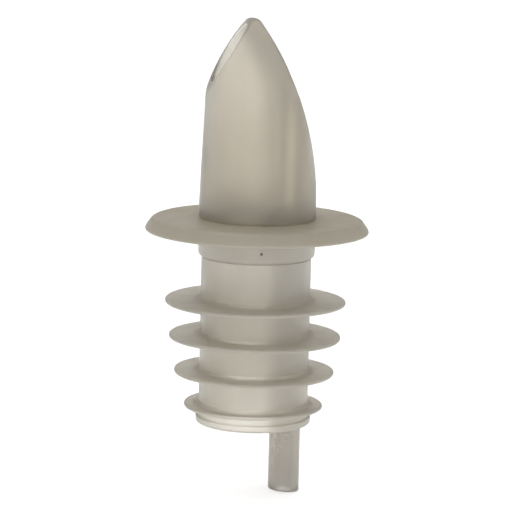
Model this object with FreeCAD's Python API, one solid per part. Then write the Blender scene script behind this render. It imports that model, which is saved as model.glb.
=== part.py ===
"""Free-flow pour spout for a spirits bottle.

Four mouldings on one upright axis: a beak-shaped spout, a collar disc, a finned
stopper and a breather tube.  The stopper is pushed into the bottle's neck until the
collar sits on the lip.  Liquid runs up the stopper, through the channel and out of
the beak's mouth, which faces -X, while air goes in at the beak's back, down a duct
in its thick wall and through the breather tube into the bottle.

Millimetres.  Origin: on the axis, in the plane of the collar's underside, which
rests on the bottle's lip.  +Z points up, out of the bottle.
"""
import FreeCAD, Part
import math
import os

V = FreeCAD.Vector
UP = V(0, 0, 1)

# Collar disc
collar_radius = 15.0
collar_thickness = 1.8
collar_top_radius = 13.1        # where the flat top ends and the shoulder begins
collar_shoulder = V(14.35, 0, 1.15)
collar_bulge = (0.564, 0.735)   # where the shoulder's curve passes, in parts of its box
collar_edge_round = 0.25
collar_recess = 0.3             # depth of the underside's seat for the stopper's head
recess_gap = 0.1                # room around the head in that seat

# Spout body: round base, slightly drafted front, back curved over to a tip
base_radius = 7.83
base_height = 2.0               # straight part above the collar
front_draft = 2.2               # degrees
back_curve = 41.1               # radius of the beak's back
cut_curve = 70.0                # radius of the mouth's cut
cut_centre = V(55.78, 0, -11.8)
cut_foot = 10.0                 # height, clear of the beak, where the cut's curve begins
tip_round = 1.1
tip_relief = 0.06               # keeps the tip's round just inside the back's curve
beak_sections = 9
horn_top = 30.1                 # the uncut horn runs past the tip to here

# Liquid channel, from the spigot's end to the mouth.  A section is a circle between
# a front and a back on X.
inlet = (-4.1, 1.7)             # front and back of the round hole through the spigot
flare_start = 1.5               # height where it widens, above the tube's seat
flare_end = 3.4
channel_front = (-4.1, 2.1)     # X and height of a point on its straight front
channel_draft = 7.6             # degrees that the front leans out
partition_x = 2.5               # its back, beside the air duct
roof_start = 15.2               # where its back begins to curve over to the tip
roof_curve = 19.4
channel_top = 28.3

# Spigot that joins the spout to the stopper, through the collar
spigot_radius = 7.0
spigot_length = 3.0             # below the collar's underside
spigot_chamfer = 0.25

# Stopper
head_radius = 7.83
head_length = 3.4               # below the collar's underside
head_round = 0.6
socket_depth = 3.1
stem_radius = 7.37
stem_bore = 6.55
stem_end = -25.1
fin_heights = (-9.5, -14.3, -19.1, -23.7)
fin_radii = (12.15, 11.55, 10.78, 9.35)
fin_edge = 0.5                  # thickness at the rim
fin_root = 1.3                  # thickness where it leaves the stem
fin_root_reach = 1.0            # how far out the coved root runs
fin_root_end = 0.625            # thickness where the cove ends
fin_root_bend = (0.3, 0.35)     # where the cove's curve passes, in parts of its box
fin_land = 0.4                  # straight part of the rim
bead_radius = 7.75
bead_length = 1.0
bead_round = 0.45

# Breather tube, and its seat in the spigot
tube_x = 4.4
tube_radius = 2.1
tube_bore = 1.15                # and of the duct above it, which leaves by the back
tube_top = 1.5
tube_end = -35.6
tube_cut = 4.0                  # degrees that the lower end is cut off square
seat_clearance = 0.02

# Allowances that leave no mark on the part
join = 0.5                      # how far a solid runs into the one it is fused with
nip = 0.05                      # how far a hollow runs into the one it opens into
past = 1.0                      # how far a cutting tool runs past the part
knife_size = 20.0

spout_foot = collar_thickness
beak_start = spout_foot + base_height
stopper_end = stem_end - bead_length


def column(radius, low, high, x=0.0):
    """Upright cylinder between two heights."""
    return Part.makeCylinder(radius, high - low, V(x, 0, low), UP)


def turned(points):
    """Solid of revolution about Z.  A point is (r, z); a triple of points in a
    tuple is an arc through the middle one."""
    edges, here = [], None
    for item in points:
        if isinstance(item[0], tuple):
            a, b, c = [V(r, 0, z) for r, z in item]
            if here is not None and here.distanceToPoint(a) > 1e-6:
                edges.append(Part.makeLine(here, a))
            edges.append(Part.Arc(a, b, c).toShape())
            here = c
        else:
            there = V(item[0], 0, item[1])
            if here is not None:
                edges.append(Part.makeLine(here, there))
            here = there
    first = edges[0].firstVertex().Point
    edges.append(Part.makeLine(here, first))
    face = Part.Face(Part.Wire(edges))
    return face.revolve(V(0, 0, 0), UP, 360)


def rounded(corner, radius, towards_r, towards_z):
    """Quarter round at a square corner, from the point on the vertical side to the
    point on the level side.  The two signs say where the material lies."""
    r, z = corner
    centre = (r + towards_r * radius, z + towards_z * radius)
    half = radius * math.sqrt(0.5)
    middle = (centre[0] - towards_r * half, centre[1] - towards_z * half)
    return ((r, centre[1]), middle, (centre[0], z))


def beak_sides(height):
    """Front and back of the beak on X, before its mouth is cut."""
    rise = height - beak_start
    front = rise * math.tan(math.radians(front_draft)) - base_radius
    return front, base_radius - back_curve + math.sqrt(back_curve ** 2 - rise ** 2)


def channel_sides(height):
    """Front and back of the liquid channel on X, above its flare."""
    x, z = channel_front
    rise = max(height - roof_start, 0.0)
    front = x - (height - z) * math.tan(math.radians(channel_draft))
    return front, partition_x - roof_curve + math.sqrt(roof_curve ** 2 - rise ** 2)


def ring_between(left, right, height):
    """Circle at a height that spans from left to right on X.  It begins on the +Y
    side, which keeps the loft's seam clear of the mouth and the air duct."""
    centre = V((left + right) / 2, 0, height)
    circle = Part.Circle(centre, UP, (right - left) / 2).toShape()
    circle.rotate(centre, UP, 90)
    return Part.Wire([circle])


def rings(sides, low, high):
    """Circles between two sides, at even heights."""
    step = (high - low) / (beak_sections - 1)
    heights = [low + i * step for i in range(beak_sections)]
    return [ring_between(*sides(z), z) for z in heights]


def make_channel():
    """The whole liquid channel, as one loft from below the spigot to the mouth."""
    sections = [ring_between(*inlet, -spigot_length - past),
                ring_between(*inlet, flare_start),
                ring_between(*channel_sides(flare_end), flare_end)]
    sections += rings(channel_sides, roof_start, channel_top)
    return Part.makeLoft(sections, True, True)


def on_cut(height):
    """Point of the mouth's cut at a height."""
    rise = height - cut_centre.z
    return V(cut_centre.x - math.sqrt(cut_curve ** 2 - rise ** 2), 0, height)


def mouth_blank():
    """Prism that keeps what lies behind the mouth's curved cut and under the
    rounded tip, whose circle touches both the cut and the beak's back."""
    back_centre = V(base_radius - back_curve, 0, beak_start)
    away, lean = cut_centre - back_centre, back_curve - tip_round
    apart = away.Length
    along = (lean ** 2 - (cut_curve - tip_round) ** 2 + apart ** 2) / (2 * apart)
    across = math.sqrt(lean ** 2 - along ** 2)
    away.normalize()
    tip = back_centre + away * along + V(-away.z, 0, away.x) * across
    left = tip + (tip - cut_centre) * (tip_round / (cut_curve - tip_round))
    right = tip + (tip - back_centre) * (tip_round / lean) - V(tip_relief, 0, 0)
    reach = 3 * base_radius
    foot = on_cut(cut_foot)
    edges = [Part.Arc(foot, on_cut((cut_foot + left.z) / 2), left).toShape(),
             Part.Arc(left, tip + V(0, 0, tip_round), right).toShape()]
    corners = [right, V(reach, 0, tip.z + reach / 2), V(reach, 0, -reach),
               V(foot.x, 0, -reach), foot]
    edges += [Part.makeLine(a, b) for a, b in zip(corners, corners[1:])]
    face = Part.Face(Part.Wire(edges))
    face.translate(V(0, -reach, 0))
    return face.extrude(V(0, 2 * reach, 0))


def make_spout():
    """Beak with its spigot, liquid channel, tube seat and air duct."""
    body = column(base_radius, spout_foot, beak_start)
    horn = Part.makeLoft(rings(beak_sides, beak_start, horn_top), True, False)
    body = body.fuse(horn).common(mouth_blank())
    spigot = turned([(0, spout_foot + join), (spigot_radius, spout_foot + join),
                     (spigot_radius, spigot_chamfer - spigot_length),
                     (spigot_radius - spigot_chamfer, -spigot_length),
                     (0, -spigot_length)])
    body = body.fuse(spigot)
    seat = column(tube_radius + seat_clearance, -spigot_length - past, tube_top, tube_x)
    duct = column(tube_bore, tube_top - nip, horn_top, tube_x)
    for room in (make_channel(), seat, duct):
        body = body.cut(room)
    return body


def make_collar():
    """Disc with a rounded shoulder and a flared rim.  Its underside has a shallow
    seat for the stopper's head."""
    shoulder = (collar_shoulder.x, collar_shoulder.z)
    run, rise = shoulder[0] - collar_top_radius, collar_thickness - shoulder[1]
    bulge = (collar_top_radius + collar_bulge[0] * run,
             collar_shoulder.z + collar_bulge[1] * rise)
    lower = rounded((collar_radius, 0), collar_edge_round, -1, 1)
    seat = head_radius + recess_gap
    return turned([(spigot_radius, collar_recess), (spigot_radius, collar_thickness),
                   ((collar_top_radius, collar_thickness), bulge, shoulder),
                   lower, (seat, 0), (seat, collar_recess)])


def fin(height, radius):
    """One sealing fin: a thin disc with a coved root and a straight rim."""
    edge, land, root = fin_edge / 2, fin_land / 2, fin_root / 2
    corner = edge - land
    inside = stem_radius - join
    reach = stem_radius + fin_root_reach
    level = fin_root_end / 2
    across, share = fin_root_bend
    bend = (stem_radius + across * fin_root_reach, share * root + (1 - share) * level)
    top = ((stem_radius, height + root), (bend[0], height + bend[1]),
           (reach, height + level))
    low = ((reach, height - level), (bend[0], height - bend[1]),
           (stem_radius, height - root))
    return turned([(inside, height + root), top, (radius - corner, height + edge),
                   (radius, height + land), (radius, height - land),
                   (radius - corner, height - edge), low, (inside, height - root)])


def make_stopper():
    """Socket head, stem, sealing fins and end bead in one soft moulding."""
    body = turned([(0, collar_recess), (head_radius, collar_recess),
                   rounded((head_radius, -head_length), head_round, -1, 1),
                   (stem_radius, -head_length), (stem_radius, stem_end),
                   (bead_radius, stem_end),
                   rounded((bead_radius, stopper_end), bead_round, -1, 1),
                   (0, stopper_end)])
    for height, radius in zip(fin_heights, fin_radii):
        body = body.fuse(fin(height, radius))
    body = body.cut(column(stem_bore, stopper_end - past, past))
    return body.cut(column(spigot_radius, -socket_depth, past)).removeSplitter()


def make_breather_tube():
    """Extruded tube, pushed into its seat, with its lower end cut a little askew."""
    tube = column(tube_radius, tube_end - past, tube_top, tube_x)
    tube = tube.cut(column(tube_bore, tube_end - 2 * past, tube_top + past, tube_x))
    half = knife_size / 2
    knife = Part.makeBox(knife_size, knife_size, half, V(-half, -half, -half))
    knife.rotate(V(0, 0, 0), V(0, 1, 0), tube_cut)
    lift = tube_radius * math.sin(math.radians(tube_cut))
    knife.translate(V(tube_x, 0, tube_end + lift))
    return tube.cut(knife)


def main():
    os.makedirs("parts", exist_ok=True)
    pieces = {
        "spout": make_spout(),
        "collar": make_collar(),
        "stopper": make_stopper(),
        "breather_tube": make_breather_tube(),
    }
    for name, shape in pieces.items():
        box = shape.BoundBox
        print(name, "valid", shape.isValid(), "solids", len(shape.Solids),
              "volume %.1f" % shape.Volume,
              "x %.2f %.2f" % (box.XMin, box.XMax), "y %.2f %.2f" % (box.YMin, box.YMax),
              "z %.2f %.2f" % (box.ZMin, box.ZMax))
        shape.exportStep("parts/%s.step" % name)


main()
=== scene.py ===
"""Free-flow pour spout in frosted plastic, dressed for a close look.

The classes hold their sizes in millimetres, as the mould drawings do; meshes are in
metres.  The mouth of the beak faces -X, the breather tube stands on the +X side.
"""
import logging
import math
from dataclasses import dataclass, field
from enum import Enum
from typing import Any, Callable, Sequence, Union

import bmesh
import bpy
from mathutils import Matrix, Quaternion, Vector


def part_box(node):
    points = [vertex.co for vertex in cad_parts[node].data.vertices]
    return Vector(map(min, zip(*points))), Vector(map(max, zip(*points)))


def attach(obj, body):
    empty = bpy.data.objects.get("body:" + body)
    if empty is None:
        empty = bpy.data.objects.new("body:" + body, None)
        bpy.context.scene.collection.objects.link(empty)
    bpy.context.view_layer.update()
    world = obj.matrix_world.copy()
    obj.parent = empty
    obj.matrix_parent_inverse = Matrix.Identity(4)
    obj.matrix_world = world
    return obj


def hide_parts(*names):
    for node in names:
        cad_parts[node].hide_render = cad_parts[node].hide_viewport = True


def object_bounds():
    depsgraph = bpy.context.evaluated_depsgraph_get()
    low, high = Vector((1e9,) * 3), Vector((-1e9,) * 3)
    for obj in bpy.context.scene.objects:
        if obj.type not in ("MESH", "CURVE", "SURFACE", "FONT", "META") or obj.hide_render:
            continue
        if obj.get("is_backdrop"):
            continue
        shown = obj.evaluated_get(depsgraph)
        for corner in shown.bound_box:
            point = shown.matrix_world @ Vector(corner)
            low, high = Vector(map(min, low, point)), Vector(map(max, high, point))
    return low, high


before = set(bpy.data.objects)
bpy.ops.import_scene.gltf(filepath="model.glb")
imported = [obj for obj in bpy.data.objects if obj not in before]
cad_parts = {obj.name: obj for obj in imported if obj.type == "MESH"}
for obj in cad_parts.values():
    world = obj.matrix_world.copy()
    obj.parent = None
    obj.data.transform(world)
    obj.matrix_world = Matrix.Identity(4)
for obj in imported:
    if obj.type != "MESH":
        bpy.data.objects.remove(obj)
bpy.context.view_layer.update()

MM = 0.001
MERGE = 0.002 * MM              # points this close are one point
SLIVER = 0.0005 * MM            # edges this short are dropped
THIN = 1e-4                     # smallest radius of a ring, in millimetres
BODY = "root"
log = logging.getLogger("pour_spout")

Point = tuple[float, float]
Colour = tuple[float, float, float]
Value = Union["Signal", float]


class Fog(Enum):
    """How milky a plastic is: the share of its light that goes straight through."""

    CLEAR = 0.8
    MILKY = 0.7
    DENSE = 0.6


# --------------------------------------------------------------------------- shading


class Signal:
    """A shader socket that takes part in ordinary Python arithmetic."""

    def __init__(self, graph: "Graph", socket: bpy.types.NodeSocket) -> None:
        """Wraps one output socket.

        Args:
            graph: the node graph that the socket belongs to.
            socket: the output socket.
        """
        self.graph = graph
        self.socket = socket

    def _math(self, operation: str, *values: Value) -> "Signal":
        """Adds one Math node and returns its result."""
        return self.graph.add("ShaderNodeMath", {"operation": operation}, *values)

    def __add__(self, other: Value) -> "Signal":
        """Sum."""
        return self._math("ADD", self, other)

    def __sub__(self, other: Value) -> "Signal":
        """Difference."""
        return self._math("SUBTRACT", self, other)

    def __rsub__(self, other: Value) -> "Signal":
        """Difference with the number first."""
        return self._math("SUBTRACT", other, self)

    def __mul__(self, other: Value) -> "Signal":
        """Product."""
        return self._math("MULTIPLY", self, other)

    __radd__ = __add__
    __rmul__ = __mul__

    def ramp(self, low: float, high: float) -> "Signal":
        """Smooth step from 0 at low to 1 at high.

        Args:
            low: the value where the step begins.
            high: the value where it ends.

        Returns:
            The stepped signal, between 0 and 1.
        """
        settings = {"interpolation_type": "SMOOTHSTEP"}
        return self.graph.add("ShaderNodeMapRange", settings, self, low, high, 0.0, 1.0)


class Graph:
    """A material's node tree, built by code."""

    def __init__(self, name: str) -> None:
        """Starts an empty material.

        Args:
            name: the material's name.
        """
        self.material = bpy.data.materials.new(name)
        self.material.use_nodes = True
        self.tree = self.material.node_tree
        self.tree.nodes.clear()
        self.output = self.tree.nodes.new("ShaderNodeOutputMaterial")

    def feed(self, socket: bpy.types.NodeSocket, value: Any) -> None:
        """Links an input socket to a signal, or sets it to a number or a colour.

        Args:
            socket: the input socket.
            value: a signal, a number or a colour.
        """
        if isinstance(value, Signal):
            self.tree.links.new(value.socket, socket)
        else:
            socket.default_value = value

    def add(self, kind: str, settings: dict[str, Any], *values: Any, out: int = 0,
            **named: Any) -> Signal:
        """Adds one node of any type.

        Args:
            kind: Blender's name for the node type.
            settings: properties, which are set before the inputs.
            values: inputs in their order.
            out: number of the output to return.
            named: inputs by name, with _ for a space.

        Returns:
            The chosen output as a signal.
        """
        node = self.tree.nodes.new(kind)
        for key, value in settings.items():
            setattr(node, key, value)
        for number, value in enumerate(values):
            self.feed(node.inputs[number], value)
        for key, value in named.items():
            self.feed(node.inputs[key.replace("_", " ")], value)
        return Signal(self, node.outputs[out])

    def mix(self, share: Value, first: Any, second: Any) -> Signal:
        """Blends two colours.

        Args:
            share: how much of the second colour, from 0 to 1.
            first: the first colour.
            second: the second colour.

        Returns:
            The blended colour.
        """
        node = self.tree.nodes.new("ShaderNodeMix")
        node.data_type = "RGBA"
        colours = [s for s in node.inputs if s.type == "RGBA"]
        for socket, value in zip((node.inputs[0], *colours), (share, first, second)):
            self.feed(socket, value)
        result = [s for s in node.outputs if s.type == "RGBA"][0]
        return Signal(self, result)

    def place(self) -> Signal:
        """The point on the piece, in the object's own metres."""
        return self.add("ShaderNodeTexCoord", {}, out=3)

    def noise(self, place: Signal, per_metre: float, detail: float = 2.0,
              roughness: float = 0.5) -> Signal:
        """Smooth noise about 0.5.

        Args:
            place: the coordinates that it reads.
            per_metre: how many waves fit in a metre.
            detail: number of finer layers.
            roughness: strength of the finer layers.

        Returns:
            The noise's value.
        """
        return self.add("ShaderNodeTexNoise", {}, Vector=place, Scale=per_metre,
                        Detail=detail, Roughness=roughness)

    def bump(self, height: Signal, depth: float, strength: float) -> Signal:
        """Turns a height into a surface normal.

        Args:
            height: the height signal.
            depth: metres that one unit of height stands for.
            strength: how much of the bump is used.

        Returns:
            The normal.
        """
        return self.add("ShaderNodeBump", {}, Strength=strength, Distance=depth,
                        Height=height)


def rgb(red: float, green: float, blue: float) -> tuple[float, float, float, float]:
    """An opaque colour for a socket."""
    return (red, green, blue, 1.0)


@dataclass(frozen=True)
class FrostedPlastic:
    """Natural, unpigmented moulded plastic: hazy, and browner the thicker it is.

    Waves are counted per metre, and the bump and the fleck are in metres.
    """

    name: str
    tint: Colour
    haze_tint: Colour
    fog: Fog
    roughness: float
    gain: Colour
    density: float
    draw_lines: bool = False
    fleck: Union[Vector, None] = None
    fleck_tint: Colour = (0.12, 0.1, 0.08)
    fleck_edge: Point = (0.00012, 0.00026)
    cloud_waves: float = 140.0
    frost_waves: float = 5200.0
    flow_waves: float = 420.0
    flow_stretch: float = 0.3
    draw_stretch: float = 0.05
    cloud_share: float = 0.6
    haze_span: Point = (0.38, 0.66)
    haze_roughness: Point = (0.85, 0.3)
    frost_roughness: float = 0.06
    relief: tuple[float, float, float] = (0.6, 0.25, 0.5)
    bump_depth: float = 0.00002
    bump_strength: float = 0.5
    refraction: float = 1.5

    def build(self) -> bpy.types.Material:
        """Builds the node tree.

        Returns:
            The finished material.
        """
        g = Graph(self.name)
        place = g.place()
        cloud = g.noise(place, self.cloud_waves, detail=3.0, roughness=0.6)
        frost = g.noise(place, self.frost_waves, detail=2.0, roughness=0.6)
        flow = g.noise(self._stretched(g, place), self.flow_waves, detail=3.0,
                       roughness=0.55)
        haze = cloud * self.cloud_share + flow * (1 - self.cloud_share)
        haze = haze.ramp(*self.haze_span)
        colour = g.mix(haze, rgb(*self.tint), rgb(*self.haze_tint))
        if self.fleck is not None:
            colour = g.mix(self._spot(g, place), colour, rgb(*self.fleck_tint))
        base, swing = self.haze_roughness
        rough = self.roughness * (base + swing * haze) + (frost - 0.5) * self.frost_roughness
        of_flow, of_frost, of_cloud = self.relief
        height = flow * of_flow + frost * of_frost + cloud * of_cloud
        normal = g.bump(height, self.bump_depth, self.bump_strength)
        surface = g.add("ShaderNodeBsdfPrincipled", {}, Base_Color=colour,
                        Roughness=rough, Normal=normal, IOR=self.refraction,
                        Transmission_Weight=self.fog.value, Specular_IOR_Level=0.5)
        g.feed(g.output.inputs["Surface"], surface)
        depth = g.add("ShaderNodeVolumeAbsorption", {}, Color=rgb(*self.gain),
                      Density=self.density)
        g.feed(g.output.inputs["Volume"], depth)
        return g.material

    def _stretched(self, g: Graph, place: Signal) -> Signal:
        """Coordinates drawn out along Z, for flow and drawing marks."""
        along = self.draw_stretch if self.draw_lines else self.flow_stretch
        return g.add("ShaderNodeMapping", {}, Vector=place, Scale=(1.0, 1.0, along))

    def _spot(self, g: Graph, place: Signal) -> Signal:
        """A dark fleck in the plastic, a fraction of a millimetre wide.

        Args:
            g: the material's graph.
            place: the point on the piece.

        Returns:
            1 inside the fleck and 0 outside it.
        """
        away = g.add("ShaderNodeVectorMath", {"operation": "DISTANCE"}, place,
                     tuple(self.fleck), out=1)
        return 1.0 - away.ramp(*self.fleck_edge)


# -------------------------------------------------------------------------- meshing


class Skin:
    """Gathers lofted patches and joins them into one closed mesh."""

    def __init__(self) -> None:
        """Starts with no points and no faces."""
        self.points: list[Vector] = []
        self.faces: list[tuple[int, int, int, int]] = []

    def loft(self, rows: Sequence[Sequence[Vector]]) -> None:
        """Adds a patch of quads over rows that have the same number of points.

        Args:
            rows: the rows, in millimetres.
        """
        count, first = len(rows[0]), len(self.points)
        for row in rows:
            self.points.extend(row)
        for k in range(len(rows) - 1):
            a, b = first + k * count, first + (k + 1) * count
            self.faces.extend((a + i, a + i + 1, b + i + 1, b + i)
                              for i in range(count - 1))

    def piece(self, name: str) -> bpy.types.Object:
        """Makes the patches into a closed, outward-facing, smooth-shaded object.

        Args:
            name: the object's name.

        Returns:
            The linked object.
        """
        mesh = bpy.data.meshes.new(name)
        mesh.from_pydata([p * MM for p in self.points], [], self.faces)
        close_up(mesh)
        made = bpy.data.objects.new(name, mesh)
        bpy.context.scene.collection.objects.link(made)
        return made


def spread(low: float, high: float, steps: int) -> list[float]:
    """Even values from low up to, but not including, high."""
    return [low + (high - low) * i / steps for i in range(steps)]


def close_up(mesh: bpy.types.Mesh, crease: float = 38.0) -> None:
    """Merges coincident points, turns faces outwards and sets smooth shading.

    Args:
        mesh: the mesh to finish.
        crease: degrees between faces above which an edge stays crisp.
    """
    bm = bmesh.new()
    bm.from_mesh(mesh)
    bmesh.ops.remove_doubles(bm, verts=bm.verts, dist=MERGE)
    bmesh.ops.dissolve_degenerate(bm, edges=bm.edges, dist=SLIVER)
    bmesh.ops.recalc_face_normals(bm, faces=bm.faces)
    if bm.calc_volume(signed=True) < 0:
        bmesh.ops.reverse_faces(bm, faces=bm.faces)
    for face in bm.faces:
        face.smooth = True
    for edge in bm.edges:
        edge.smooth = edge.calc_face_angle(0.0) < math.radians(crease)
    open_edges = sum(not e.is_manifold for e in bm.edges)
    if open_edges:
        log.warning("%s has %d open edges", mesh.name, open_edges)
    bm.to_mesh(mesh)
    bm.free()


def finish_piece(made: bpy.types.Object, node: str,
                 material: bpy.types.Material) -> None:
    """Gives a piece its material, in the mesh's material slot, and its body, and hides the CAD
    node that it stands for.
        material: its material.
    """
    made.data.materials.clear()
    made.data.materials.append(material)
    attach(made, BODY)
    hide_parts(node)
    log.info("%s: %d vertices", made.name, len(made.data.vertices))


def arc(centre: Point, radius: Point, start: float, end: float, steps: int) -> list[Point]:
    """Points along a quarter round or any stretch of an ellipse.

    Args:
        centre: its centre, as (r, z).
        radius: half-widths along r and z.
        start: first angle in degrees, 0 pointing outwards and 90 up.
        end: last angle in degrees.
        steps: number of stretches.

    Returns:
        The points, both ends included.
    """
    turn = [math.radians(start + (end - start) * i / steps) for i in range(steps + 1)]
    return [(centre[0] + radius[0] * math.cos(a), centre[1] + radius[1] * math.sin(a))
            for a in turn]


class TurnedTree:
    """Geometry Nodes tree that turns a profile about an upright axis."""

    NAME = "turned_body"
    WAVES_ROUND = 2.0           # how often the gentle wave rises in one turn
    WAVE_TWIST = 900.0          # radians that it shifts per metre of height
    WAVE_INPUTS = ("Wave Height", "Wave From", "Wave To")

    def __init__(self) -> None:
        """Builds the tree once."""
        self.tree = bpy.data.node_groups.new(self.NAME, "GeometryNodeTree")
        face = self.tree.interface
        face.new_socket("Profile", in_out="INPUT", socket_type="NodeSocketGeometry")
        kinds = {"Segments": "Int", "Axis X": "Float",
                 **dict.fromkeys(self.WAVE_INPUTS, "Float"), "Finish": "Material"}
        for name, kind in kinds.items():
            face.new_socket(name, in_out="INPUT", socket_type="NodeSocket" + kind)
        face.new_socket("Body", in_out="OUTPUT", socket_type="NodeSocketGeometry")
        self._wire()

    def _node(self, kind: str, **settings: Any) -> bpy.types.Node:
        """Adds a node and sets its properties.

        Args:
            kind: Blender's name for the node type.
            settings: its properties.

        Returns:
            The node.
        """
        node = self.tree.nodes.new(kind)
        for key, value in settings.items():
            setattr(node, key, value)
        return node

    def _sum(self, operation: str, *values: Any) -> bpy.types.NodeSocket:
        """Adds a Math node fed by sockets or numbers.

        Args:
            operation: what the node works out.
            values: its inputs in their order.

        Returns:
            The node's output.
        """
        node = self._node("ShaderNodeMath", operation=operation)
        for socket, value in zip(node.inputs, values):
            if isinstance(value, (int, float)):
                socket.default_value = value
            else:
                self.tree.links.new(value, socket)
        return node.outputs[0]

    def _wire(self) -> None:
        """Lays a grid over the profile and the turn, and bends it round the axis."""
        link = self.tree.links.new
        given = self._node("NodeGroupInput").outputs
        count = self._node("GeometryNodeAttributeDomainSize", component="MESH")
        link(given["Profile"], count.inputs[0])
        around = self._sum("ADD", given["Segments"], 1.0)
        grid = self._node("GeometryNodeMeshGrid")
        link(count.outputs["Point Count"], grid.inputs["Vertices X"])
        link(around, grid.inputs["Vertices Y"])
        index = self._node("GeometryNodeInputIndex").outputs[0]
        row = self._sum("FLOOR", self._sum("DIVIDE", self._sum("ADD", index, 0.5), around))
        column = self._sum("SUBTRACT", index, self._sum("MULTIPLY", row, around))
        sample = self._node("GeometryNodeSampleIndex", data_type="FLOAT_VECTOR",
                            domain="POINT")
        link(given["Profile"], sample.inputs["Geometry"])
        link(self._node("GeometryNodeInputPosition").outputs[0], sample.inputs["Value"])
        link(row, sample.inputs["Index"])
        parts = self._node("ShaderNodeSeparateXYZ")
        link(sample.outputs[0], parts.inputs[0])
        reach, height = parts.outputs["X"], parts.outputs["Z"]
        turn = self._sum("MULTIPLY", self._sum("DIVIDE", column, given["Segments"]),
                         2.0 * math.pi)
        span = self._sum("SUBTRACT", given["Wave To"], given["Wave From"])
        share = self._sum("DIVIDE", self._sum("SUBTRACT", reach, given["Wave From"]), span)
        share = self._sum("MAXIMUM", self._sum("MINIMUM", share, 1.0), 0.0)
        phase = self._sum("ADD", self._sum("MULTIPLY", turn, self.WAVES_ROUND),
                          self._sum("MULTIPLY", height, self.WAVE_TWIST))
        wave = self._sum("MULTIPLY", self._sum("MULTIPLY", share, given["Wave Height"]),
                         self._sum("SINE", phase))
        place = self._node("ShaderNodeCombineXYZ")
        x = self._sum("ADD", self._sum("MULTIPLY", reach, self._sum("COSINE", turn)),
                      given["Axis X"])
        link(x, place.inputs[0])
        link(self._sum("MULTIPLY", reach, self._sum("SINE", turn)), place.inputs[1])
        link(self._sum("ADD", height, wave), place.inputs[2])
        move = self._node("GeometryNodeSetPosition")
        link(grid.outputs[0], move.inputs["Geometry"])
        link(place.outputs[0], move.inputs["Position"])
        merge = self._node("GeometryNodeMergeByDistance")
        merge.inputs["Distance"].default_value = MERGE
        link(move.outputs[0], merge.inputs["Geometry"])
        real = self._node("GeometryNodeRealizeInstances")
        link(merge.outputs[0], real.inputs[0])
        paint = self._node("GeometryNodeSetMaterial")
        link(real.outputs[0], paint.inputs["Geometry"])
        link(given["Finish"], paint.inputs["Material"])
        link(paint.outputs[0], self._node("NodeGroupOutput").inputs[0])

    def turn(self, name: str, profile: Sequence[Point], material: bpy.types.Material,
             segments: int = 160, axis_x: float = 0.0, wave: float = 0.0,
             wave_from: float = 0.0, wave_to: float = 1.0) -> bpy.types.Object:
        """Turns a closed profile into a plain mesh.

        Args:
            name: the piece's name.
            profile: its outline as (r, z) in millimetres, closed by the tree.
            material: the finish.
            segments: faces round the axis.
            axis_x: where the axis stands on X, in millimetres.
            wave: height of the gentle wave on far-reaching parts, in millimetres.
            wave_from: radius where the wave starts.
            wave_to: radius where it is full.

        Returns:
            The piece, as a plain mesh with no modifier left.
        """
        outline = bpy.data.meshes.new(name + "_outline")
        points = [(r * MM, 0.0, z * MM) for r, z in [*profile, profile[0]]]
        outline.from_pydata(points, [(i, i + 1) for i in range(len(points) - 1)], [])
        carrier = bpy.data.objects.new(name, outline)
        bpy.context.scene.collection.objects.link(carrier)
        modifier = carrier.modifiers.new("turned", "NODES")
        modifier.node_group = self.tree
        waves = zip(self.WAVE_INPUTS, (wave * MM, wave_from * MM, wave_to * MM))
        values = {"Segments": segments, "Axis X": axis_x * MM, **dict(waves),
                  "Finish": material}
        for item in self.tree.interface.items_tree:
            if item.in_out == "INPUT" and item.name in values:
                modifier[item.identifier] = values[item.name]
        graph = bpy.context.evaluated_depsgraph_get()
        body = bpy.data.meshes.new_from_object(carrier.evaluated_get(graph))
        body.name = name
        carrier.modifiers.clear()
        carrier.data = body
        bpy.data.meshes.remove(outline)
        close_up(body)
        return carrier


# --------------------------------------------------------------------------- pieces


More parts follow.
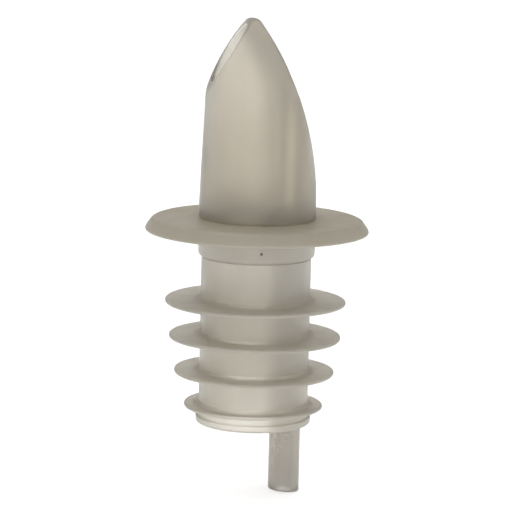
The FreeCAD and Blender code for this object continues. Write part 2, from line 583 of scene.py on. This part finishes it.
@dataclass
class Spout:
    """The beak: a leaning horn with a curved mouth, a liquid channel and a spigot."""

    finish: FrostedPlastic
    base_radius: float = 7.83
    base_height: float = 2.0
    front_draft: float = 2.2
    back_curve: float = 41.1
    cut_curve: float = 70.0
    cut_centre: Point = (55.78, -11.8)
    tip_round: float = 1.1
    inlet: Point = (-4.1, 1.7)
    flare: Point = (1.5, 3.4)
    channel_front: Point = (-4.1, 2.1)
    channel_draft: float = 7.6
    partition_x: float = 2.5
    roof_start: float = 15.2
    roof_curve: float = 19.4
    spigot_radius: float = 6.98
    spigot_end: float = -3.0
    tube_x: float = 4.4
    seat_radius: float = 2.12
    seat_top: float = 1.5
    duct_radius: float = 1.15
    edge: float = 0.2
    corner: float = 0.25
    rest_gap: float = 0.01
    spigot_gap: float = 0.1
    hole_start: float = 0.6
    rim_share: float = 0.14
    mouth_floor: float = 17.0
    drill_past: Point = (1.0, 3.0)
    columns: int = 144
    mouth_rows: int = 60
    wall_rows: int = 44
    flare_rows: int = 8
    hole_rows: int = 4
    halvings: int = 60
    foot: float = field(init=False)
    start: float = field(init=False)
    tip: Point = field(init=False)

    def __post_init__(self) -> None:
        """Works out where the curved part begins and where the tip's round sits."""
        self.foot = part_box("collar")[1].z / MM + self.rest_gap
        self.start = self.foot + self.base_height - self.rest_gap
        back = Vector((self.back_centre, self.start))
        away = Vector(self.cut_centre) - back
        apart, lean = away.length, self.back_curve - self.tip_round
        along = (lean ** 2 - (self.cut_curve - self.tip_round) ** 2 + apart ** 2) / (2 * apart)
        across = math.sqrt(lean ** 2 - along ** 2)
        away.normalize()
        self.tip = tuple(back + away * along + Vector((-away.y, away.x)) * across)

    @property
    def back_centre(self) -> float:
        """X of the back curve's centre."""
        return self.base_radius - self.back_curve

    def _side(self, z: float, centre: Point, curve: float, way: int) -> float:
        """X of one long curve of the tip's outline, or of the tip's round above it.

        Args:
            z: the height.
            centre: the long curve's centre on X and Z.
            curve: its radius.
            way: +1 for the outline's +X side, -1 for its -X side.

        Returns:
            The position on X.
        """
        tip_x, tip_z = self.tip
        touch = tip_z + (tip_z - centre[1]) * self.tip_round / (curve - self.tip_round)
        if z > touch:
            return tip_x + way * math.sqrt(max(self.tip_round ** 2 - (z - tip_z) ** 2, 0.0))
        return centre[0] + way * math.sqrt(curve ** 2 - max(z - centre[1], 0.0) ** 2)

    def cut(self, z: float) -> float:
        """X of the mouth's curved cut at a height."""
        return self._side(z, self.cut_centre, self.cut_curve, -1)

    def back(self, z: float) -> float:
        """X of the beak's back at a height."""
        return self._side(z, (self.back_centre, self.start), self.back_curve, 1)

    def sides(self, z: float, share: float) -> Point:
        """Front and back on X at a height.

        Args:
            z: the height.
            share: 0 on the beak's outside, 1 on the channel's wall.

        Returns:
            The two positions.
        """
        drop = max(z - self.start, 0.0) * math.tan(math.radians(self.front_draft))
        outer = (drop - self.base_radius, self.back(z))
        x, foot = self.channel_front
        rise = max(z - self.roof_start, 0.0)
        inner = (x - (z - foot) * math.tan(math.radians(self.channel_draft)),
                 self.partition_x - self.roof_curve
                 + math.sqrt(self.roof_curve ** 2 - rise ** 2))
        return (outer[0] + share * (inner[0] - outer[0]),
                outer[1] + share * (inner[1] - outer[1]))

    def _solve(self, gap: Callable[[float], float]) -> float:
        """Finds the height near the mouth where a gap changes its sign.

        Args:
            gap: a function of height.

        Returns:
            The height, found by halving the stretch that holds it.
        """
        low, high = self.mouth_floor, self.tip[1] + self.tip_round
        for _ in range(self.halvings):
            middle = (low + high) / 2
            low, high = (middle, high) if gap(middle) > 0 else (low, middle)
        return low

    def lip(self, share: float, inset: float) -> float:
        """Height where the mouth opens in a shell trimmed behind its cut."""
        return self._solve(lambda z: self.sides(z, share)[0] - self.cut(z) - inset)

    def crown(self, share: float, inset: float) -> float:
        """Height where the mouth ends in a shell trimmed behind its cut."""
        return self._solve(lambda z: self.sides(z, share)[1] - self.cut(z) - inset)

    def ring(self, sides: Point, z: float, half: float = math.pi) -> list[Vector]:
        """Points on the circle between two sides.

        Args:
            sides: the circle's front and back on X.
            z: its height.
            half: how far the points reach to either side of +X, in radians.

        Returns:
            The points, from -half to +half.
        """
        centre, radius = sum(sides) / 2, max((sides[1] - sides[0]) / 2, THIN)
        turns = (half * (2 * i / self.columns - 1) for i in range(self.columns + 1))
        return [Vector((centre + radius * math.cos(a), radius * math.sin(a), z))
                for a in turns]

    def open_rows(self, share: float, inset: float) -> list[list[Vector]]:
        """Rows beside the mouth, from its lip to its crown.

        Args:
            share: which shell, as in sides().
            inset: how far behind the mouth's cut the rows end.

        Returns:
            Rows of points, each from the near edge round the back to the far edge.
        """
        low, high = self.lip(share, inset), self.crown(share, inset)
        rows = []
        for i in range(self.mouth_rows + 1):
            z = low + (high - low) * (0.5 - 0.5 * math.cos(math.pi * i / self.mouth_rows))
            left, right = self.sides(z, share)
            middle, radius = (left + right) / 2, max((right - left) / 2, THIN)
            level = (self.cut(z) + inset - middle) / radius
            rows.append(self.ring((left, right), z, math.acos(min(max(level, -1), 1))))
        return rows

    def outside(self) -> list[list[Vector]]:
        """Rings from the spigot's end up the outside to the mouth's lip.

        Returns:
            Rows of points, from the lowest up.
        """
        r, b, e = self.spigot_radius, self.base_radius, self.corner
        rings = [*arc((r - e, self.spigot_end + e), (e, e), -90, 0, 4),
                 (r, self.foot - self.spigot_gap), (r, self.foot), (b - e, self.foot),
                 *arc((b - e, self.foot + e), (e, e), -60, 0, 3)]
        rows = [self.ring((-radius, radius), z) for radius, z in rings]
        low, high = self.foot + 2 * e, self.lip(0.0, self.edge)
        return rows + [self.ring(self.sides(z, 0.0), z)
                       for z in spread(low, high, self.wall_rows)]

    def inside(self) -> list[list[Vector]]:
        """Rings from the spigot's end up the channel to the mouth's inner lip.

        Returns:
            Rows of points, from the lowest up.
        """
        front, back = self.inlet
        narrow, wide = self.flare
        e, low = self.corner, self.spigot_end
        rows = [self.ring((front - grown, back + grown), z)
                for grown, z in arc((e, low + e), (e, e), 270, 180, 4)]
        rows += [self.ring(self.inlet, z)
                 for z in spread(low + self.hole_start, narrow, self.hole_rows)]
        above = self.sides(wide, 1.0)
        for t in spread(0.0, 1.0, self.flare_rows):
            blend = t * t * (3 - 2 * t)
            sides = (front + (above[0] - front) * blend, back + (above[1] - back) * blend)
            rows.append(self.ring(sides, narrow + (wide - narrow) * t))
        high = self.lip(1.0, self.edge)
        return rows + [self.ring(self.sides(z, 1.0), z)
                       for z in spread(wide, high, self.wall_rows)]

    def rim_loops(self) -> list[Point]:
        """Loops across the mouth's rim, from its outer edge to its inner edge.

        Returns:
            A wall share and an inset for each loop, as open_rows() takes them.
        """
        soft, part, e = 1 - math.sqrt(0.5), self.rim_share, self.edge
        return [(0.0, e), (soft * part, soft * e), (part, 0.0), (0.5, 0.0),
                (1 - part, 0.0), (1 - soft * part, soft * e), (1.0, e)]

    def build(self) -> bpy.types.Object:
        """Builds the shell, opens the air way and dresses the piece.

        Returns:
            The finished spout.
        """
        shell = Skin()
        outer, inner = self.outside(), self.inside()
        loops = [self.open_rows(*pair) for pair in self.rim_loops()]
        shell.loft(outer + loops[0])
        shell.loft(inner + loops[-1])
        shell.loft([outer[0], inner[0]])
        for side in (0, -1):
            shell.loft([[row[side] for row in rows] for rows in loops])
        made = shell.piece("beak_spout")
        self._open_air_way(made)
        finish_piece(made, "spout", self.finish.build())
        return made

    def _open_air_way(self, made: bpy.types.Object) -> None:
        """Cuts the tube's seat and the duct above it out of the shell.

        Args:
            made: the spout's shell.
        """
        below, above = self.drill_past
        low, top = self.spigot_end - below, self.tip[1] + above
        rings = [(0.0, low), (self.seat_radius, low), (self.seat_radius, self.seat_top),
                 (self.duct_radius, self.seat_top), (self.duct_radius, top), (0.0, top)]
        drill = Skin()
        drill.loft([self.ring((self.tube_x - radius, self.tube_x + radius), z)
                    for radius, z in rings])
        tool = drill.piece("air_way_tool")
        cutter = made.modifiers.new("air_way", "BOOLEAN")
        cutter.object, cutter.operation, cutter.solver = tool, "DIFFERENCE", "EXACT"
        graph = bpy.context.evaluated_depsgraph_get()
        opened = bpy.data.meshes.new_from_object(made.evaluated_get(graph))
        made.modifiers.clear()
        made.data = opened
        close_up(opened)
        bpy.data.objects.remove(tool)


@dataclass
class Collar:
    """Disc that rests on the bottle's lip, with a soft shoulder and a flared rim."""

    finish: FrostedPlastic
    hole: float = 7.02
    hole_edge: float = 0.15
    seat: Point = (7.93, 0.3)
    seat_edge: float = 0.05
    seat_corner: float = 0.1
    flat_to: float = 13.1
    flat_stops: Point = (0.3, 0.65)
    shoulder: Point = (14.35, 1.15)
    shoulder_end: float = 12.0
    flank_top: Point = (0.16, 0.62)
    flank_foot: Point = (0.04, 0.12)
    edge: float = 0.22
    rim_gap: float = 0.02
    under_stops: Point = (0.7, 0.35)

    def build(self, trees: TurnedTree) -> bpy.types.Object:
        """Turns the disc.

        Args:
            trees: the turning tree.

        Returns:
            The finished collar.
        """
        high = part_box("collar")[1]
        top, rim = high.z / MM, high.x / MM - self.rim_gap
        e, hole, inset = self.edge, self.hole, self.hole_edge
        seat, depth = self.seat
        profile = [(hole, depth + self.seat_corner), (hole, top - inset), (hole + inset, top)]
        profile += [(hole + (self.flat_to - hole) * t, top) for t in self.flat_stops]
        reach = self.shoulder[0] - self.flat_to
        profile += arc((self.flat_to, self.shoulder[1]),
                       (reach, top - self.shoulder[1]), 90, self.shoulder_end, 14)
        profile += [(rim - self.flank_top[0], self.flank_top[1]),
                    (rim - self.flank_foot[0], e + self.flank_foot[1])]
        profile += arc((rim - e, e), (e, e), 0, -90, 5)
        profile += [(seat + (rim - seat) * t, 0.0) for t in self.under_stops]
        profile += [(seat + self.seat_edge, 0.0), (seat, self.seat_edge), (seat, depth),
                    (hole + self.seat_corner, depth)]
        material = self.finish.build()
        made = trees.turn("collar_disc", profile, material, segments=192)
        finish_piece(made, "collar", material)
        return made


@dataclass
class Stopper:
    """Soft moulding with a socket head, a thin stem, sealing fins and an end bead."""

    finish: FrostedPlastic
    head_radius: float = 7.83
    head_length: float = 3.4
    head_round: float = 0.6
    head_edge: float = 0.12
    head_side: float = 1.4
    head_step: float = 0.1
    top_gap: float = 0.01
    socket_radius: float = 7.0
    socket_depth: float = 3.1
    socket_edge: float = 0.05
    socket_round: float = 0.2
    stem_radius: float = 7.37
    stem_bore: float = 6.55
    bore_round: float = 0.25
    bore_stops: tuple[float, ...] = (0.25, 0.5, 0.75)
    stem_end: float = -25.1
    fin_heights: tuple[float, ...] = (-9.5, -14.3, -19.1, -23.7)
    fin_radii: tuple[float, ...] = (12.15, 11.55, 10.78, 9.35)
    fin_edge: float = 0.5
    fin_root: float = 1.3
    fin_reach: float = 1.0
    fin_taper: float = 1.25
    cove_power: float = 2.4
    cove_stops: tuple[float, ...] = (0.0, 0.12, 0.26, 0.42, 0.6, 0.8, 1.0)
    web_stops: tuple[float, ...] = (0.35, 0.7, 1.0)
    rim_flat: float = 0.8
    rim_angle: float = 70.0
    bead_radius: float = 7.75
    bead_round: float = 0.45
    bead_edge: float = 0.1
    bead_root: tuple[float, float, float] = (0.3, 0.12, 0.05)
    wave: float = 0.05

    def fin(self, height: float, radius: float) -> list[Point]:
        """Outline of one fin, from its upper root round its rim to its lower root.

        Args:
            height: where the fin stands.
            radius: its outer radius.

        Returns:
            The points, outwards over the top and back underneath.
        """
        root, edge = self.fin_root / 2, self.fin_edge / 2
        level = edge * self.fin_taper
        start = self.stem_radius
        cove = [(start + self.fin_reach * t,
                 level + (root - level) * (1 - t) ** self.cove_power)
                for t in self.cove_stops]
        web = [(start + self.fin_reach + (radius - edge - start - self.fin_reach) * t,
                level + (edge - level) * t) for t in self.web_stops]
        upper = cove + web
        depth = edge * self.rim_flat
        rim = arc((radius - depth, 0.0), (depth, edge), self.rim_angle, -self.rim_angle, 8)
        lower = [(r, -h) for r, h in reversed(upper)]
        return [(r, height + h) for r, h in [*upper, *rim, *lower]]

    def build(self, trees: TurnedTree) -> bpy.types.Object:
        """Turns the stopper.

        Args:
            trees: the turning tree.

        Returns:
            The finished stopper.
        """
        low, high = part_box("stopper")
        end, top = low.z / MM, high.z / MM - self.top_gap
        h, b, c = self.head_round, self.bead_round, self.head_edge
        profile = [(self.socket_radius, top), (self.head_radius - c, top),
                   (self.head_radius, top - c), (self.head_radius, top - self.head_side)]
        profile += arc((self.head_radius - h, h - self.head_length), (h, h), 0, -90, 6)
        profile.append((self.stem_radius, -self.head_length - self.head_step))
        for height, radius in zip(self.fin_heights, self.fin_radii):
            profile += self.fin(height, radius)
        above, out, foot = self.bead_root
        profile += [(self.stem_radius, self.stem_end + above),
                    (self.stem_radius + out, self.stem_end + foot),
                    (self.bead_radius - self.bead_edge, self.stem_end),
                    (self.bead_radius, self.stem_end - self.bead_edge)]
        profile += arc((self.bead_radius - b, end + b), (b, b), 0, -90, 6)
        e, s = self.bore_round, self.socket_round
        profile += arc((self.stem_bore + e, end + e), (e, e), 270, 180, 4)
        profile += [(self.stem_bore, end + (-end - self.socket_depth) * t)
                    for t in self.bore_stops]
        profile += arc((self.stem_bore + s, -self.socket_depth - s), (s, s), 180, 90, 3)
        profile += [(self.socket_radius - self.socket_edge, -self.socket_depth),
                    (self.socket_radius, -self.socket_depth + self.socket_edge)]
        material = self.finish.build()
        made = trees.turn("finned_stopper", profile, material, segments=176,
                          wave=self.wave, wave_from=self.stem_radius + self.fin_reach,
                          wave_to=self.fin_radii[0])
        finish_piece(made, "stopper", material)
        return made


@dataclass
class BreatherTube:
    """Extruded tube, its lower end cut a little askew."""

    finish: FrostedPlastic
    bore: float = 1.15
    cut: float = 4.0
    edge: float = 0.06
    seat_gap: float = 0.02
    stops: tuple[float, ...] = (0.15, 0.3, 0.5, 0.7, 0.9)

    def build(self, trees: TurnedTree) -> bpy.types.Object:
        """Turns the tube and slants its lower end.

        Args:
            trees: the turning tree.

        Returns:
            The finished tube.
        """
        low, high = (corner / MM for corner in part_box("breather_tube"))
        centre, radius = (low.x + high.x) / 2, (high.x - low.x) / 2
        e, end, top = self.edge, low.z, high.z - self.seat_gap
        span = top - end
        outer = [(radius, end + span * t) for t in self.stops]
        inner = [(self.bore, z) for _, z in reversed(outer)]
        profile = [(self.bore + e, end), (radius - e, end), (radius, end + e), *outer,
                   (radius, top - e), (radius - e, top), (self.bore + e, top),
                   (self.bore, top - e), *inner, (self.bore, end + e)]
        material = self.finish.build()
        made = trees.turn("breather_tube_clear", profile, material, segments=72,
                          axis_x=centre)
        slope = math.tan(math.radians(self.cut))
        for vertex in made.data.vertices:
            if vertex.co.z < (end + 2 * e) * MM:
                away = centre + radius - vertex.co.x / MM
                vertex.co.z += away * slope * MM
        finish_piece(made, "breather_tube", material)
        return made


# --------------------------------------------------------------------------- studio


@dataclass(frozen=True)
class SoftBox:
    """A square soft light that points at the object, in metres and watts."""

    name: str
    place: tuple[float, float, float]
    size: float
    power: float

    def hang(self) -> None:
        """Hangs the light in the scene."""
        lamp = bpy.data.lights.new(self.name, "AREA")
        lamp.energy, lamp.size = self.power, self.size
        box = bpy.data.objects.new(self.name, lamp)
        spot = Vector(self.place)
        box.location = spot
        box.rotation_mode = "QUATERNION"
        box.rotation_quaternion = (-spot).to_track_quat("-Z", "Y")
        bpy.context.scene.collection.objects.link(box)


@dataclass
class Studio:
    """Pale floor, soft lights and a long-lens camera.

    The camera's place is in millimetres and its turns in degrees.  The floor and the
    clipping distances are in metres.
    """

    distance: float = 384.5
    camera_height: float = 60.5
    side_step: float = -0.05
    side_turn: float = 7.0
    pitch: float = 9.44
    roll: float = 1.33
    lens: float = 204.5
    sensor: float = 36.0
    clip: Point = (0.01, 50.0)
    floor_half: float = 6.0
    floor_gap: float = 0.0002
    floor_tones: Point = (0.93, 0.95)
    floor_waves: float = 6.0
    floor_glow: float = 0.6
    sky: float = 0.43
    boxes: tuple[SoftBox, ...] = (SoftBox("soft_top", (-0.1, 0.1, 0.9), 0.9, 2.8),
                                  SoftBox("soft_front", (-0.1, -1.0, 0.2), 1.0, 2.6))

    def floor(self) -> None:
        """Lays a large pale floor just under the breather tube's end."""
        drop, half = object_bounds()[0].z - self.floor_gap, self.floor_half
        mesh = bpy.data.meshes.new("studio_floor")
        corners = [(-half, -half, drop), (half, -half, drop), (half, half, drop),
                   (-half, half, drop)]
        mesh.from_pydata(corners, [], [(0, 1, 2, 3)])
        sheet = bpy.data.objects.new("studio_floor", mesh)
        bpy.context.scene.collection.objects.link(sheet)
        g = Graph("pale_floor")
        dark, light = (rgb(tone, tone, tone) for tone in self.floor_tones)
        tone = g.mix(g.noise(g.place(), self.floor_waves), dark, light)
        surface = g.add("ShaderNodeBsdfPrincipled", {}, Base_Color=tone, Roughness=0.9,
                        Emission_Color=rgb(1.0, 1.0, 1.0),
                        Emission_Strength=self.floor_glow)
        g.feed(g.output.inputs["Surface"], surface)
        mesh.materials.append(g.material)
        sheet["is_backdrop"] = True

    def lights(self) -> None:
        """Hangs the soft boxes and sets the even surroundings."""
        for box in self.boxes:
            box.hang()
        world = bpy.data.worlds.new("soft_surroundings")
        world.use_nodes = True
        surroundings = world.node_tree.nodes["Background"]
        surroundings.inputs["Color"].default_value = rgb(1.0, 1.0, 1.0)
        surroundings.inputs["Strength"].default_value = self.sky
        bpy.context.scene.world = world

    def camera(self) -> None:
        """Sets the long-lens camera a little above the collar, off to the left."""
        lens = bpy.data.cameras.new("camera")
        lens.lens, lens.sensor_width = self.lens, self.sensor
        lens.clip_start, lens.clip_end = self.clip
        turn = Quaternion((0, 0, 1), math.radians(-self.side_turn))
        tilt = Quaternion((1, 0, 0), math.radians(90.0 - self.pitch))
        lean = Quaternion((0, 0, 1), math.radians(self.roll))
        eye = turn @ Vector((self.side_step, -self.distance, self.camera_height))
        viewer = bpy.data.objects.new("camera", lens)
        viewer.location = eye * MM
        viewer.rotation_mode = "QUATERNION"
        viewer.rotation_quaternion = turn @ tilt @ lean
        bpy.context.scene.collection.objects.link(viewer)
        bpy.context.scene.camera = viewer

    def build(self) -> None:
        """Sets up camera, floor, lights and plain colour handling."""
        self.camera()
        self.floor()
        self.lights()
        bpy.context.scene.view_settings.view_transform = "Standard"


SPOUT_FINISH = FrostedPlastic(
    "frosted_spout_plastic", tint=(0.95, 0.92, 0.85), haze_tint=(0.92, 0.89, 0.82),
    fog=Fog.CLEAR, roughness=0.38, gain=(0.82, 0.79, 0.72), density=330.0)
COLLAR_FINISH = FrostedPlastic(
    "milky_collar_plastic", tint=(0.80, 0.76, 0.65), haze_tint=(0.76, 0.72, 0.61),
    fog=Fog.DENSE, roughness=0.42, gain=(0.76, 0.69, 0.52), density=300.0)
STOPPER_FINISH = FrostedPlastic(
    "soft_stopper_plastic", tint=(0.93, 0.905, 0.84), haze_tint=(0.89, 0.86, 0.79),
    fog=Fog.MILKY, roughness=0.42, gain=(0.82, 0.78, 0.70), density=420.0,
    fleck=Vector((-0.0003, -0.00782, -0.0019)))
TUBE_FINISH = FrostedPlastic(
    "drawn_tube_plastic", tint=(0.78, 0.755, 0.70), haze_tint=(0.73, 0.71, 0.66),
    fog=Fog.CLEAR, roughness=0.3, gain=(0.76, 0.73, 0.69), density=860.0,
    draw_lines=True)


def main() -> None:
    """Builds the studio and the four pieces."""
    Studio().build()
    trees = TurnedTree()
    Spout(SPOUT_FINISH).build()
    Collar(COLLAR_FINISH).build(trees)
    Stopper(STOPPER_FINISH).build(trees)
    BreatherTube(TUBE_FINISH).build(trees)


if __name__ == "__main__":
    logging.basicConfig(level=logging.INFO, format="%(name)s %(message)s")
    main()
